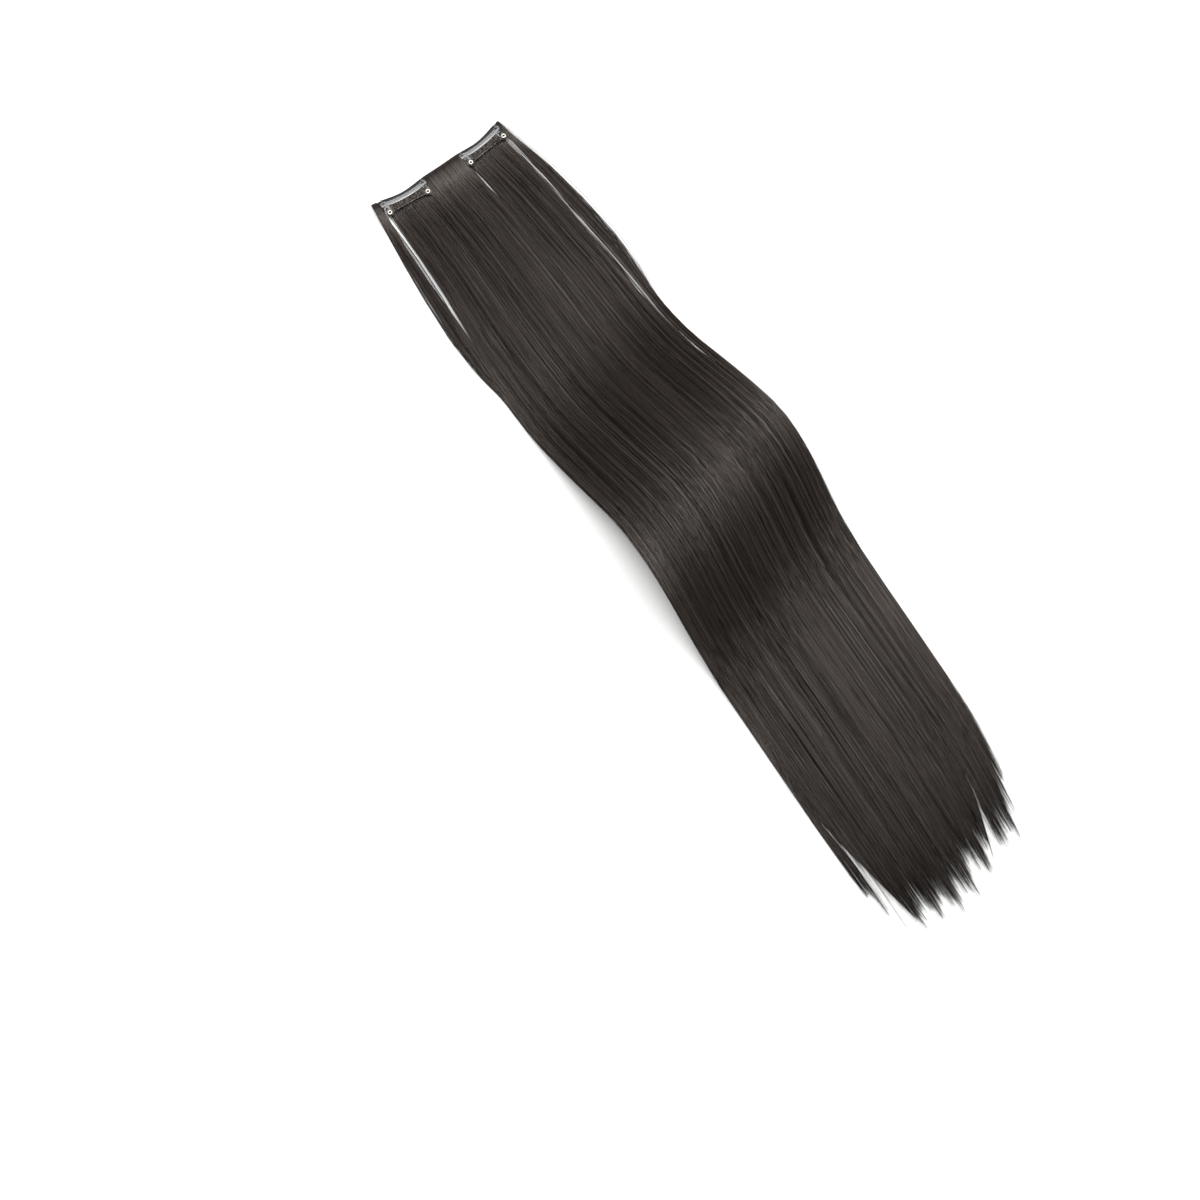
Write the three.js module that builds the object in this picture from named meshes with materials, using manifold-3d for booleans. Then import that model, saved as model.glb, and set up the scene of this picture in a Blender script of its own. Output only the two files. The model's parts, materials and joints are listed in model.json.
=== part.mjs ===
// Clip in hair extension: one weft of long straight dark hair, laid out flat, with two
// black snap clips sewn along its top. Millimetres, +Z up. The weft's top edge runs
// along X, the hair runs towards -Y and everything lies on the plane z = 0.
import * as THREE from 'three';
import { mergeVertices } from 'three/addons/utils/BufferGeometryUtils.js';
import Module from 'manifold-3d';

const wasm = await Module();
wasm.setup();

// Track: the folded and sewn band that holds the hair
const trackWidth = 96.5;
const trackHeight = 7;
const trackThickness = 3;
const trackBendRadius = 320;
const trackBendMiddle = -8;
const trackEdgeRound = 0.9;
const trackSteps = 30;

// Hair curtain
const hairLength = 550;
const hairHalfWidth = 57;
const hairThickness = 4.6;
const backingShare = 0.42;
const backingEndGap = 38;
const lockOverlap = 1.5;
const lockTipWidth = 1.1;
const lockTipStretch = 56;
const lockTipDepthShare = 0.45;
const lockStagger = 0.5;
const backingColumns = 10;

// Wave: the soft slanted rise a little above the middle of the length
const waveHeight = 24;
const waveStart = 150;
const waveCrest = 275;
const waveEnd = 364;
const waveSlant = 15.5;

// Parting: the short slit that opens in the hair under the right clip
const partingStart = 17;
const partingLength = 27;
const partingWidth = 2.6;
const partingPlace = 15.5;

// Clip: stamped band with two tabs
const clipWidth = 32;
const clipSpacing = 58.2;
const clipOffset = 1.6;
const clipInset = 0.5;
const clipDipRunOut = 3.8;
const bandBendRadius = 70;
const bandHeight = 4.3;
const bandCornerRound = 1;
const plateThickness = 0.6;
const tabRadius = 2.1;
const rivetSpan = 27.3;
const rivetDrop = 10.3;
const sewingHoleSpan = 28.4;
const sewingHoleDrop = 2.2;
const sewingHoleRadius = 0.6;
const tabHoleSpan = 27.6;
const tabHoleDrop = 6.2;
const tabHoleRadius = 0.75;

// Comb: the cross-bar and loop teeth that snap over
const combThickness = 0.5;
const barHeight = 1.3;
const toothCount = 6;
const toothPitch = 3.43;
const toothWidth = 2.2;
const toothWire = 0.5;
const toothReach = 4.3;
const toothBandGap = 0.4;
const earRadius = 1.9;
const earLength = 3.1;
const earHeight = 1.6;

// Rivet: pale tubular rivet with a rolled ring on top
const rivetBore = 0.55;
const rivetBarrelRadius = 0.9;
const rivetRingRadius = 1.6;
const rivetRingHeight = 0.45;
const rivetRingRoll = 0.2;
const rivetFootRadius = 1.4;
const rivetFootHeight = 0.35;
const rivetSides = 10;

// Clearances between separate pieces
const layerGap = 0.2;
const hairGap = 0.3;
const hingeGap = 0.3;
const holeClearance = 0.2;

// Facets of round corners and holes
const arcSteps = 5;
const loopSteps = 2;
const holeSteps = 10;
const mergeTolerance = 1e-4;

// Outline of the hair, seen from above: at is a share of the hair's length from the
// top edge, middle and half are shares of hairHalfWidth
const outline = [
  { at: 0.00, middle: 0.00, half: 0.84 },
  { at: 0.06, middle: 0.04, half: 0.87 },
  { at: 0.14, middle: 0.05, half: 0.93 },
  { at: 0.21, middle: 0.05, half: 1.00 },
  { at: 0.33, middle: 0.05, half: 1.00 },
  { at: 0.40, middle: 0.12, half: 1.02 },
  { at: 0.47, middle: 0.20, half: 1.03 },
  { at: 0.53, middle: 0.18, half: 1.03 },
  { at: 0.60, middle: 0.11, half: 1.01 },
  { at: 0.67, middle: 0.07, half: 1.00 },
  { at: 0.84, middle: 0.01, half: 1.00 },
  { at: 1.00, middle: -0.12, half: 0.92 },
];

// Sections of the hair, closest together in the wave: at is a share of hairLength
const sections = [
  { at: 0.05 },
  { at: 0.15 },
  { at: 0.27 },
  { at: 0.33 },
  { at: 0.38 },
  { at: 0.42 },
  { at: 0.46 },
  { at: 0.50 },
  { at: 0.54 },
  { at: 0.58 },
  { at: 0.63 },
  { at: 0.69 },
  { at: 0.80 },
];

// Sections of a strip's free end: at is a share of the way from the last section above
const endSections = [
  { at: 0.55 },
  { at: 1.00 },
];

// Thickness of the hair: at is a share of the hair's length, depth of hairThickness
const depths = [
  { at: 0.00, depth: 0.27 },
  { at: 0.032, depth: 0.29 },
  { at: 0.07, depth: 0.80 },
  { at: 0.13, depth: 1.00 },
  { at: 0.72, depth: 1.00 },
  { at: 0.90, depth: 0.75 },
  { at: 1.00, depth: 0.45 },
];

// Locks from left to right: reach is a share of hairLength, bulge of the hair's
// thickness, and lean is the sideways drift of the tip in lock spacings
const locks = [
  { reach: 0.940, bulge: 0.80, lean: 0.5 },
  { reach: 0.975, bulge: 1.00, lean: 0.1 },
  { reach: 0.985, bulge: 0.90, lean: -0.2 },
  { reach: 0.970, bulge: 1.08, lean: 0.4 },
  { reach: 0.990, bulge: 0.92, lean: 0.1 },
  { reach: 0.978, bulge: 1.05, lean: -0.3 },
  { reach: 1.000, bulge: 0.95, lean: 0.3 },
  { reach: 0.975, bulge: 1.10, lean: -0.2 },
  { reach: 0.992, bulge: 0.90, lean: 0.2 },
  { reach: 0.968, bulge: 1.04, lean: 0.3 },
  { reach: 0.980, bulge: 0.96, lean: -0.3 },
  { reach: 0.962, bulge: 1.08, lean: 0.2 },
  { reach: 0.975, bulge: 0.92, lean: -0.3 },
  { reach: 0.960, bulge: 1.05, lean: 0.1 },
  { reach: 0.968, bulge: 0.95, lean: -0.3 },
  { reach: 0.925, bulge: 0.80, lean: -0.6 },
];

// Section of a lock: across is a share of its half width, up of its thickness
const lockSection = [
  { across: -0.70, up: 0.00 },
  { across: 0.70, up: 0.00 },
  { across: 1.00, up: 0.45 },
  { across: 0.55, up: 0.90 },
  { across: 0.00, up: 1.00 },
  { across: -0.55, up: 0.90 },
  { across: -1.00, up: 0.45 },
];

const enamel = new THREE.MeshStandardMaterial({ color: 0x1a1a1c, roughness: 0.3, metalness: 0.4 });
const springSteel = new THREE.MeshStandardMaterial({ color: 0x202022, roughness: 0.35, metalness: 0.5 });
const nickel = new THREE.MeshStandardMaterial({ color: 0xd6c6b4, roughness: 0.25, metalness: 1 });
const hairFibre = new THREE.MeshStandardMaterial({ color: 0x39332f, roughness: 0.55, metalness: 0 });
const trackFibre = new THREE.MeshStandardMaterial({ color: 0x2e2926, roughness: 0.8, metalness: 0 });

// Helpers for tables and blends

function smoothStep(value) {
  const t = THREE.MathUtils.clamp(value, 0, 1);
  return t * t * (3 - 2 * t);
}

function tableValue(table, at, column) {
  const last = table.length - 1;
  const next = table.findIndex((row) => row.at >= at);
  if (next === 0) return table[0][column];
  if (next < 0) return table[last][column];
  const low = table[next - 1];
  const high = table[next];
  return THREE.MathUtils.lerp(low[column], high[column], (at - low.at) / (high.at - low.at));
}

// Solids from rings and shapes

// Closed solid through rings of equal count, each ring counterclockwise about the
// direction of travel
function loft(rings) {
  const count = rings[0].length;
  const last = rings.length - 1;
  const positions = rings.flat().flatMap((point) => [point.x, point.y, point.z]);
  const index = [];
  for (let k = 0; k < last; k += 1) {
    for (let j = 0; j < count; j += 1) {
      const near = k * count + j;
      const side = k * count + ((j + 1) % count);
      index.push(near, side, side + count, near, side + count, near + count);
    }
  }
  for (let j = 1; j < count - 1; j += 1) {
    index.push(0, j + 1, j);
    index.push(last * count, last * count + j, last * count + j + 1);
  }
  const geometry = new THREE.BufferGeometry();
  geometry.setAttribute('position', new THREE.Float32BufferAttribute(positions, 3));
  geometry.setIndex(index);
  return geometry;
}

function toSolid(geometry) {
  const bare = geometry.clone();
  bare.deleteAttribute('normal');
  bare.deleteAttribute('uv');
  const merged = mergeVertices(bare, mergeTolerance);
  return new wasm.Manifold(new wasm.Mesh({
    numProp: 3,
    vertProperties: Float32Array.from(merged.attributes.position.array),
    triVerts: Uint32Array.from(merged.index.array),
  }));
}

function toGeometry(solid) {
  const result = solid.getMesh();
  const geometry = new THREE.BufferGeometry();
  geometry.setAttribute('position', new THREE.BufferAttribute(result.vertProperties, 3));
  geometry.setIndex(new THREE.BufferAttribute(result.triVerts, 1));
  return geometry;
}

function joined(geometries) {
  const [first, ...others] = geometries.map(toSolid);
  return others.reduce((whole, piece) => whole.add(piece), first);
}

function sheet(shape, thickness, steps = arcSteps) {
  return new THREE.ExtrudeGeometry(shape, {
    depth: thickness,
    bevelEnabled: false,
    curveSegments: steps,
  });
}

function roundHole(x, y, radius) {
  const hole = new THREE.Path();
  for (let k = 0; k < holeSteps; k += 1) {
    const angle = 2 * Math.PI * k / holeSteps;
    const place = [x + radius * Math.cos(angle), y + radius * Math.sin(angle)];
    if (k === 0) hole.moveTo(...place);
    else hole.lineTo(...place);
  }
  hole.closePath();
  return hole;
}

// Where the clips sit along the weft, and how the weft bends with them

const clipCentres = [clipOffset - clipSpacing / 2, clipOffset + clipSpacing / 2];
const bandSagitta = bandBendRadius - Math.sqrt(bandBendRadius ** 2 - (clipWidth / 2) ** 2);

// Height of the wide concave arc that the whole weft follows, along Y
function wideArc(x) {
  return trackBendRadius - Math.sqrt(trackBendRadius ** 2 - (x - trackBendMiddle) ** 2);
}

// Height of the weft's top edge: the wide arc, and a shallow dip at each clip where the
// weft follows the curved band
function topEdge(place) {
  const x = THREE.MathUtils.clamp(place, -trackWidth / 2, trackWidth / 2);
  const dips = clipCentres.map((centre) => {
    const t = Math.min(Math.abs(x - centre) / (clipWidth / 2 + clipDipRunOut), 1);
    return bandSagitta * 0.5 * (1 + Math.cos(Math.PI * t));
  });
  return wideArc(x) - dips[0] - dips[1];
}

function trackSection(x) {
  const top = topEdge(x);
  const bottom = top - trackHeight;
  const round = trackEdgeRound;
  return [
    new THREE.Vector3(x, bottom, 0),
    new THREE.Vector3(x, top, 0),
    new THREE.Vector3(x, top, trackThickness - round),
    new THREE.Vector3(x, top - round, trackThickness),
    new THREE.Vector3(x, bottom + round, trackThickness),
    new THREE.Vector3(x, bottom, trackThickness - round),
  ];
}

function makeTrack() {
  const rings = [];
  for (let k = 0; k <= trackSteps; k += 1) {
    rings.push(trackSection(trackWidth * (k / trackSteps - 0.5)));
  }
  return loft(rings);
}

// Hair: locks fused to a thin backing sheet

// Height of the hair's underside where the wave lifts it
function waveLift(x, along) {
  const place = along + x * Math.tan(THREE.MathUtils.degToRad(waveSlant));
  const rise = smoothStep((place - waveStart) / (waveCrest - waveStart));
  const fall = smoothStep((place - waveCrest) / (waveEnd - waveCrest));
  return waveHeight * rise * (1 - fall);
}

// Point of the hair's underside: across runs from -1 to 1 over the outline's width and
// along is the distance from the top edge
function hairPoint(across, along) {
  const at = along / hairLength;
  const x = hairHalfWidth * (tableValue(outline, at, 'middle')
    + across * tableValue(outline, at, 'half'));
  const y = topEdge(x) * (1 - smoothStep(along / waveStart)) - along;
  return new THREE.Vector3(x, y, waveLift(x, along));
}

// The locks start behind the track's lower edge and are cut back to it
const hairStart = trackHeight - bandSagitta;
const lockSpacing = 2 * hairHalfWidth / locks.length;
const lockInset = 1 - (lockOverlap - 1) / locks.length;

function lockRing(row, number, along) {
  const end = row.reach * hairLength;
  const toTip = smoothStep((end - along) / lockTipStretch);
  const spacing = lockSpacing * tableValue(outline, along / hairLength, 'half');
  const halfWidth = THREE.MathUtils.lerp(lockTipWidth, spacing * lockOverlap, toTip) / 2;
  const drift = row.lean * lockSpacing * smoothStep((along - waveEnd) / (end - waveEnd));
  const across = (2 * number + 1) / locks.length - 1;
  const centre = hairPoint(across * lockInset, along);
  const depth = hairThickness * row.bulge * tableValue(depths, along / hairLength, 'depth')
    * THREE.MathUtils.lerp(lockTipDepthShare, 1, toTip);
  const lift = number % 2 * Math.min(lockStagger, depth / 3);
  return lockSection.map((corner) => new THREE.Vector3(
    centre.x + drift + corner.across * halfWidth,
    centre.y,
    centre.z + lift + corner.up * (depth - lift),
  ));
}

// Distances from the top edge at which a strip that ends at a given distance is drawn
function stations(end) {
  const body = sections.map((section) => section.at * hairLength);
  const last = body[body.length - 1];
  return [hairStart, ...body, ...endSections.map((tip) => THREE.MathUtils.lerp(last, end, tip.at))];
}

function makeLock(row, number) {
  return loft(stations(row.reach * hairLength).map((along) => lockRing(row, number, along)));
}

// How far the backing reaches, a little short of the tips of the locks at that place
function backingEnd(across) {
  const number = (across + 1) / 2 * (locks.length - 1);
  const left = locks[Math.floor(number)].reach;
  const right = locks[Math.ceil(number)].reach;
  return hairLength * THREE.MathUtils.lerp(left, right, number % 1) - backingEndGap;
}

function backingRing(station) {
  const under = [];
  const over = [];
  for (let k = 0; k <= backingColumns; k += 1) {
    const across = 2 * k / backingColumns - 1;
    const along = stations(backingEnd(across))[station];
    const point = hairPoint(across * lockInset, along);
    const depth = hairThickness * tableValue(depths, along / hairLength, 'depth');
    const low = depth * (1 - backingShare) / 2;
    under.push(new THREE.Vector3(point.x, point.y, point.z + low));
    over.unshift(new THREE.Vector3(point.x, point.y, point.z + low + depth * backingShare));
  }
  return [...under, ...over];
}

// Sheet that holds the locks, closed by strips at both ends
function makeBacking() {
  const rings = stations(hairLength).map((along, station) => backingRing(station));
  const geometry = loft(rings);
  const count = 2 * (backingColumns + 1);
  const last = (rings.length - 1) * count;
  const wall = geometry.index.array.slice(0, last * 6);
  const ends = [];
  for (let j = 0; j < backingColumns; j += 1) {
    const low = j;
    const high = count - 1 - j;
    ends.push(low, high, low + 1, low + 1, high, high - 1);
    ends.push(last + low, last + low + 1, last + high);
    ends.push(last + low + 1, last + high - 1, last + high);
  }
  geometry.setIndex([...wall, ...ends]);
  return geometry;
}

// Room for the track and the gap round it
function makeTrackRoom() {
  const rings = [];
  for (let k = 0; k <= trackSteps; k += 1) {
    const x = 2 * hairHalfWidth * (k / trackSteps - 0.5);
    const top = topEdge(x) + hairGap;
    const bottom = topEdge(x) - trackHeight - hairGap;
    rings.push([
      new THREE.Vector3(x, bottom, -hairThickness),
      new THREE.Vector3(x, top, -hairThickness),
      new THREE.Vector3(x, top, 2 * hairThickness),
      new THREE.Vector3(x, bottom, 2 * hairThickness),
    ]);
  }
  return loft(rings);
}

// Wedge that opens the parting between two locks
function makeParting() {
  const wedge = new THREE.Shape();
  wedge.moveTo(partingPlace, -partingStart);
  wedge.lineTo(partingPlace - partingWidth / 2, -partingStart - partingLength);
  wedge.lineTo(partingPlace + partingWidth / 2, -partingStart - partingLength);
  wedge.closePath();
  const cutter = sheet(wedge, 2 * hairThickness);
  cutter.translate(0, 0, -hairThickness / 2);
  return cutter;
}

// The strips are fused and cut, and small hollows shut in between them are filled
function makeHair() {
  const strips = joined([makeBacking(), ...locks.map(makeLock)]);
  const cutters = joined([makeTrackRoom(), makeParting()]);
  const [curtain] = strips.subtract(cutters).decompose().sort((a, b) => b.volume() - a.volume());
  return toGeometry(curtain);
}

// Clip pieces, drawn with the line of the two rivets on y = 0

const rivetPlace = rivetSpan / 2;
const bandCentre = rivetDrop + bandBendRadius - bandSagitta;
const tabInner = rivetPlace - tabRadius;
const tabOuter = rivetPlace + tabRadius;

// Height of an edge of the band that runs parallel to its top edge
function bandEdge(x, below) {
  return bandCentre - Math.sqrt((bandBendRadius + below) ** 2 - x ** 2);
}

function bandArc(shape, from, to, below) {
  for (let k = 0; k <= 2 * arcSteps; k += 1) {
    const x = THREE.MathUtils.lerp(from, to, k / (2 * arcSteps));
    shape.lineTo(x, bandEdge(x, below));
  }
}

function makePlate() {
  const corner = clipWidth / 2;
  const shoulder = rivetDrop - bandHeight;
  const round = bandCornerRound;
  const shape = new THREE.Shape();
  shape.moveTo(-corner, rivetDrop - round);
  shape.quadraticCurveTo(-corner, rivetDrop, -corner + round, bandEdge(corner - round, 0));
  bandArc(shape, -corner + 2 * round, corner - 2 * round, 0);
  shape.lineTo(corner - round, bandEdge(corner - round, 0));
  shape.quadraticCurveTo(corner, rivetDrop, corner, rivetDrop - round);
  shape.lineTo(corner, shoulder);
  shape.lineTo(tabOuter, shoulder - round);
  shape.absarc(rivetPlace, 0, tabRadius, 0, -Math.PI, true);
  bandArc(shape, tabInner, -tabInner, bandHeight);
  shape.absarc(-rivetPlace, 0, tabRadius, 0, -Math.PI, true);
  shape.lineTo(-tabOuter, shoulder - round);
  shape.lineTo(-corner, shoulder);
  shape.closePath();
  for (const side of [-1, 1]) {
    const sewing = sewingHoleSpan / 2;
    const tab = tabHoleSpan / 2;
    shape.holes.push(roundHole(side * sewing, bandEdge(sewing, sewingHoleDrop), sewingHoleRadius));
    shape.holes.push(roundHole(side * tab, bandEdge(tab, tabHoleDrop), tabHoleRadius));
    shape.holes.push(roundHole(side * rivetPlace, 0, rivetBarrelRadius + holeClearance));
  }
  return sheet(shape, plateThickness);
}

// Long loop of flat wire with round ends
function toothLoop(x) {
  const top = bandEdge(x, bandHeight) - toothBandGap;
  const tip = bandEdge(x, 0) - bandEdge(0, 0) - toothReach;
  const outer = toothWidth / 2;
  const inner = outer - toothWire;
  const shape = new THREE.Shape();
  shape.moveTo(x + outer, tip + outer);
  shape.absarc(x, top - outer, outer, 0, Math.PI, false);
  shape.absarc(x, tip + outer, outer, Math.PI, 2 * Math.PI, false);
  const slot = new THREE.Path();
  slot.moveTo(x + inner, tip + outer);
  slot.absarc(x, top - outer, inner, 0, Math.PI, false);
  slot.absarc(x, tip + outer, inner, Math.PI, 2 * Math.PI, false);
  shape.holes.push(slot);
  return sheet(shape, combThickness, loopSteps);
}

function makeComb() {
  const barLength = 2 * (rivetPlace - earLength - hingeGap);
  const bar = new THREE.BoxGeometry(barLength, barHeight, combThickness);
  bar.translate(0, 0, combThickness / 2);
  const teeth = [];
  for (let k = 0; k < toothCount; k += 1) {
    teeth.push(toothLoop(toothPitch * (k - (toothCount - 1) / 2)));
  }
  return toGeometry(joined([bar, ...teeth]));
}

// Round lobe with a short arm towards the comb, for the right rivet or the left one
function makeEar(side) {
  const shape = new THREE.Shape();
  const half = earHeight / 2;
  const turn = Math.asin(half / earRadius);
  shape.moveTo(-earLength, half);
  shape.lineTo(-earLength, -half);
  shape.absarc(0, 0, earRadius, Math.PI + turn, 3 * Math.PI - turn, false);
  shape.closePath();
  shape.holes.push(roundHole(0, 0, rivetBarrelRadius + holeClearance));
  const ear = sheet(shape, combThickness);
  if (side < 0) ear.rotateZ(Math.PI);
  return ear;
}

// Heights of the clip's layers above the track
const plateLevel = trackThickness + layerGap;
const combLevel = plateLevel + plateThickness + layerGap;
const ringLevel = combLevel + combThickness + layerGap;
const footLevel = plateLevel - layerGap - rivetFootHeight;

function makeRivet() {
  const footTop = footLevel + rivetFootHeight;
  const ringTop = ringLevel + rivetRingHeight;
  const profile = [
    new THREE.Vector2(rivetBore, footLevel),
    new THREE.Vector2(rivetFootRadius, footLevel),
    new THREE.Vector2(rivetFootRadius, footTop),
    new THREE.Vector2(rivetBarrelRadius, footTop),
    new THREE.Vector2(rivetBarrelRadius, ringLevel),
    new THREE.Vector2(rivetRingRadius, ringLevel),
    new THREE.Vector2(rivetRingRadius, ringTop - rivetRingRoll),
    new THREE.Vector2(rivetRingRadius - rivetRingRoll, ringTop),
    new THREE.Vector2(rivetBore + rivetRingRoll, ringTop),
    new THREE.Vector2(rivetBore, ringTop - rivetRingRoll),
    new THREE.Vector2(rivetBore, footLevel),
  ];
  const rivet = new THREE.LatheGeometry(profile, rivetSides);
  rivet.rotateX(Math.PI / 2);
  return rivet;
}

function piece(name, geometry, material) {
  const mesh = new THREE.Mesh(geometry, material);
  mesh.name = name;
  return mesh;
}

function makeClip(name) {
  const clip = new THREE.Group();
  const plate = piece(`${name}_plate`, makePlate(), enamel);
  plate.position.z = plateLevel;
  const comb = piece(`${name}_comb`, makeComb(), springSteel);
  comb.position.z = combLevel;
  clip.add(plate, comb);
  for (const side of [-1, 1]) {
    const end = side < 0 ? 'left' : 'right';
    const ear = piece(`${name}_${end}_ear`, makeEar(side), springSteel);
    ear.position.set(side * rivetPlace, 0, combLevel);
    const rivet = piece(`${name}_${end}_rivet`, makeRivet(), nickel);
    rivet.position.x = side * rivetPlace;
    clip.add(ear, rivet);
  }
  return clip;
}

// Each clip lies square to the weft's wide arc, its corners just under the top edge
function placeClip(clip, centre) {
  const tilt = Math.asin((centre - trackBendMiddle) / trackBendRadius);
  const drop = clipInset + rivetDrop;
  clip.rotation.z = tilt;
  clip.position.set(centre + drop * Math.sin(tilt), wideArc(centre) - drop * Math.cos(tilt), 0);
}

const extension = new THREE.Group();
extension.add(piece('hair_curtain', makeHair(), hairFibre));
extension.add(piece('weft_track', makeTrack(), trackFibre));
clipCentres.forEach((centre, number) => {
  const clip = makeClip(number === 0 ? 'left_clip' : 'right_clip');
  placeClip(clip, centre);
  extension.add(clip);
});

// The origin is under the middle of the whole extension
const bounds = new THREE.Box3().setFromObject(extension);
const middle = bounds.getCenter(new THREE.Vector3());
extension.position.set(-middle.x, -middle.y, -bounds.min.z);

const object = new THREE.Group();
object.add(extension);
object.updateMatrixWorld(true);

export default object;
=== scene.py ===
import json
import math

import bmesh
import bpy
import numpy as np
from mathutils import Matrix, Vector


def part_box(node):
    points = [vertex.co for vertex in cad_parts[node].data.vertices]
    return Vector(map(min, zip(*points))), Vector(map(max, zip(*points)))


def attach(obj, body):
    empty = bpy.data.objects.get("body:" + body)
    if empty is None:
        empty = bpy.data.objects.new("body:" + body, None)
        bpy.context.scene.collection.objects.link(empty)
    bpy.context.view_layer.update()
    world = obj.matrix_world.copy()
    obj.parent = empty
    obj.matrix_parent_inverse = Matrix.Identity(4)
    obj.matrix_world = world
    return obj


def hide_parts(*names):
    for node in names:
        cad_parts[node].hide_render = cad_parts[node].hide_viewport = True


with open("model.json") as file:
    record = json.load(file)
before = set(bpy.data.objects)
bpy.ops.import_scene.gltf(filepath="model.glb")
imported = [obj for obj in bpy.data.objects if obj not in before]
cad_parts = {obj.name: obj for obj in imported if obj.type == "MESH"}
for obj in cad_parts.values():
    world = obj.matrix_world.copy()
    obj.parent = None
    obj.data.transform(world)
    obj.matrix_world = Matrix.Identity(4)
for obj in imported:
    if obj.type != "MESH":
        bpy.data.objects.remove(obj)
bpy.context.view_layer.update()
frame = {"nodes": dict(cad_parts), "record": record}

MM = 0.001

# Camera
# The extension lies flat and is seen from above, a little from the side of the hair's
# ends, with the hair running to the lower right of the picture. A 45 mm lens.

camera_place = Vector((-0.2129, -0.1747, 0.8512))
camera_turn, camera_tilt, camera_roll = (math.radians(angle) for angle in (-37.89, 13.62, 2.32))
camera_data = bpy.data.cameras.new("camera")
camera_data.sensor_width = 36
camera_data.lens = 45
camera_data.clip_start = 0.01
camera = bpy.data.objects.new("camera", camera_data)
camera.matrix_world = (Matrix.Translation(camera_place) @ Matrix.Rotation(camera_turn, 4, "Z")
                       @ Matrix.Rotation(camera_tilt, 4, "X") @ Matrix.Rotation(camera_roll, 4, "Z"))
bpy.context.scene.collection.objects.link(camera)
bpy.context.scene.camera = camera

# Studio light and floor
# One wide soft box hangs overhead, long enough that flat hair mirrors it and the slopes
# of the wave look past its ends. A strip brightens the wave's crest, another the clips'
# bands. The floor is plain white card.


def light_box(name, place, width, length, power):
    """A soft box that faces straight down. Metres and watts."""
    data = bpy.data.lights.new(name, "AREA")
    data.shape = "RECTANGLE"
    data.size = width
    data.size_y = length
    data.energy = power
    light = bpy.data.objects.new(name, data)
    light.matrix_world = Matrix.Translation(place)
    bpy.context.scene.collection.objects.link(light)


light_box("overhead_box", (0.20, 0.17, 1.30), 1.9, 1.2, 20.5)
light_box("crest_strip", (0.20, 0.25, 1.28), 1.8, 0.2, 6.5)
light_box("clip_strip", (0.05, 0.94, 1.28), 1.0, 0.16, 2.0)
world_strength = 0.24
world = bpy.data.worlds.new("studio")
world.use_nodes = True
background = world.node_tree.nodes["Background"]
background.inputs["Color"].default_value = (1, 1, 1, 1)
background.inputs["Strength"].default_value = world_strength
bpy.context.scene.world = world
bpy.context.scene.view_settings.view_transform = "Standard"


def linear(hex_colour):
    """Linear RGBA of an sRGB hex colour."""
    parts = [int(hex_colour[k:k + 2], 16) / 255 for k in (1, 3, 5)]
    return [p / 12.92 if p <= 0.04045 else ((p + 0.055) / 1.055) ** 2.4 for p in parts] + [1]


def add_node(tree, kind, links=(), **settings):
    """Adds a node. Settings are its properties or unlinked inputs, links are input: socket."""
    made = tree.nodes.new(kind)
    for key, value in settings.items():
        if hasattr(made, key):
            setattr(made, key, value)
        else:
            made.inputs[key.replace("_", " ")].default_value = value
    for key, socket in dict(links).items():
        tree.links.new(socket, made.inputs[key])
    return made


def new_material(name, **shader_values):
    """A material with one shader whose plain values are set on its own sockets."""
    material = bpy.data.materials.new(name)
    material.use_nodes = True
    shader = material.node_tree.nodes["Principled BSDF"]
    for key, value in shader_values.items():
        shader.inputs[key.replace("_", " ")].default_value = value
    return material, material.node_tree, shader


def object_place(tree):
    """Object coordinates, in metres."""
    return add_node(tree, "ShaderNodeTexCoord").outputs["Object"]


def add_bump(tree, shader, height, strength, distance):
    """Roughens a shader's surface by a height socket."""
    bump = add_node(tree, "ShaderNodeBump", {"Height": height}, Strength=strength, Distance=distance)
    tree.links.new(bump.outputs["Normal"], shader.inputs["Normal"])


def mesh_from(bm, name):
    mesh = bpy.data.meshes.new(name)
    bm.to_mesh(mesh)
    bm.free()
    return mesh


def piece_of_mesh(mesh, name, material, body):
    """A smooth piece of one material that rides on a body."""
    mesh.materials.append(material)
    mesh.shade_smooth()
    piece = bpy.data.objects.new(name, mesh)
    bpy.context.scene.collection.objects.link(piece)
    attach(piece, body)
    return piece


# Matte white card: evenly pale, with a trace of tooth
card, card_tree, card_shader = new_material("matte_white_card", Base_Color=linear("#fbfbfa"), Roughness=0.9)
card_grain = add_node(card_tree, "ShaderNodeTexNoise", {"Vector": object_place(card_tree)}, Scale=180, Detail=2)
add_bump(card_tree, card_shader, card_grain.outputs["Fac"], 0.05, 0.0002)
floor_half = 2.5
floor_bm = bmesh.new()
bmesh.ops.create_grid(floor_bm, x_segments=1, y_segments=1, size=floor_half)
floor_mesh = mesh_from(floor_bm, "floor")
floor_mesh.materials.append(card)
floor = bpy.data.objects.new("floor", floor_mesh)
bpy.context.scene.collection.objects.link(floor)

# Lie of the hair
# The weft is machine-made straight hair of one length. It fans out a little below the
# track, rises in one soft slanted wave and thins towards uneven ends. Millimetres,
# counted from the middle of the track's top edge.

track_low, track_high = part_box("weft_track")
middle_x = (track_low.x + track_high.x) / 2 / MM
track_height = 7.0
rest_mount = next(m for m in frame["record"]["mounts"] if m["name"] == "track_underside")
edge_y = rest_mount["pos_m"][1] / MM + track_height / 2
track_half = (track_high.x - track_low.x) / 2 / MM

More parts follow.
